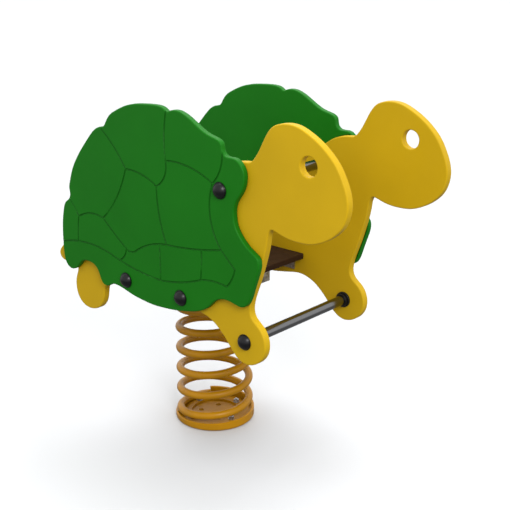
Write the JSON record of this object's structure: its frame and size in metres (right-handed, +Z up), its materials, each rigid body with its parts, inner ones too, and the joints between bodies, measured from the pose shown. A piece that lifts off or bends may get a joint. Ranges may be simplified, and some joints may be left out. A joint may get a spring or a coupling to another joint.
{
  "type": "spring rider",
  "caption": "Turtle-shaped playground spring rider with board sides, seat, hand bar, foot bar and a coil spring on a round base.",
  "frame": {"origin": "on the ground at the centre of the round base, on the spring's axis", "axes": "+X forward towards the head, +Y to the rider's left, +Z up"},
  "size_m": [0.933, 0.447, 0.8571],
  "materials": {
    "yellow_board": "fine-textured polyethylene board, bright yellow",
    "green_board": "fine-textured polyethylene board, green",
    "brown_board": "dark brown board, anti-slip texture",
    "orange_paint": "powder-coated steel, orange",
    "zinc_steel": "galvanised steel",
    "stainless_steel": "stainless steel tube",
    "black_plastic": "black moulded plastic"
  },
  "bodies": {
    "base": {"base_plate": "orange_paint", "spring_seat_bottom": "orange_paint", "base_bolts": "zinc_steel", "base_washers": "zinc_steel", "base_nuts": "zinc_steel"},
    "spring": {"coil_spring": "orange_paint"},
    "rider": {"side_panel_left": "yellow_board", "side_panel_right": "yellow_board", "shell_panel_left": "green_board", "shell_panel_right": "green_board", "seat_board": "brown_board", "seat_bracket_front_left": "zinc_steel", "seat_bracket_front_right": "zinc_steel", "seat_bracket_rear_left": "zinc_steel", "seat_bracket_rear_right": "zinc_steel", "seat_screws": "zinc_steel", "support_tray": "zinc_steel", "tray_screws": "zinc_steel", "spring_seat_top": "orange_paint", "top_plate": "orange_paint", "top_bolts": "zinc_steel", "top_washers": "zinc_steel", "top_nuts": "zinc_steel", "handle_bar": "stainless_steel", "handle_plugs": "stainless_steel", "handle_collars": "black_plastic", "handle_bolts": "zinc_steel", "handle_washers": "zinc_steel", "handle_caps": "black_plastic", "footrest_bar": "stainless_steel", "footrest_plugs": "stainless_steel", "footrest_collars": "black_plastic", "footrest_bolts": "zinc_steel", "footrest_washers": "zinc_steel", "footrest_caps": "black_plastic", "bracket_bolts": "zinc_steel", "bracket_caps": "black_plastic", "bracket_nuts": "zinc_steel", "bracket_washers": "zinc_steel"}
  },
  "joints": [
    {"name": "rock_fore_aft", "type": "hinge", "parent": "base", "child": "spring", "pos_m": [0, 0, 0.13], "axis": [0, 1, 0], "range_deg": [-18, 18], "stiffness_Nm_per_rad": 414, "deforming": ["coil_spring"]},
    {"name": "sway_sideways", "type": "hinge", "parent": "spring", "child": "rider", "pos_m": [0, 0, 0.27], "axis": [1, 0, 0], "range_deg": [-12, 12], "stiffness_Nm_per_rad": 414, "deforming": ["coil_spring"]}
  ]
}
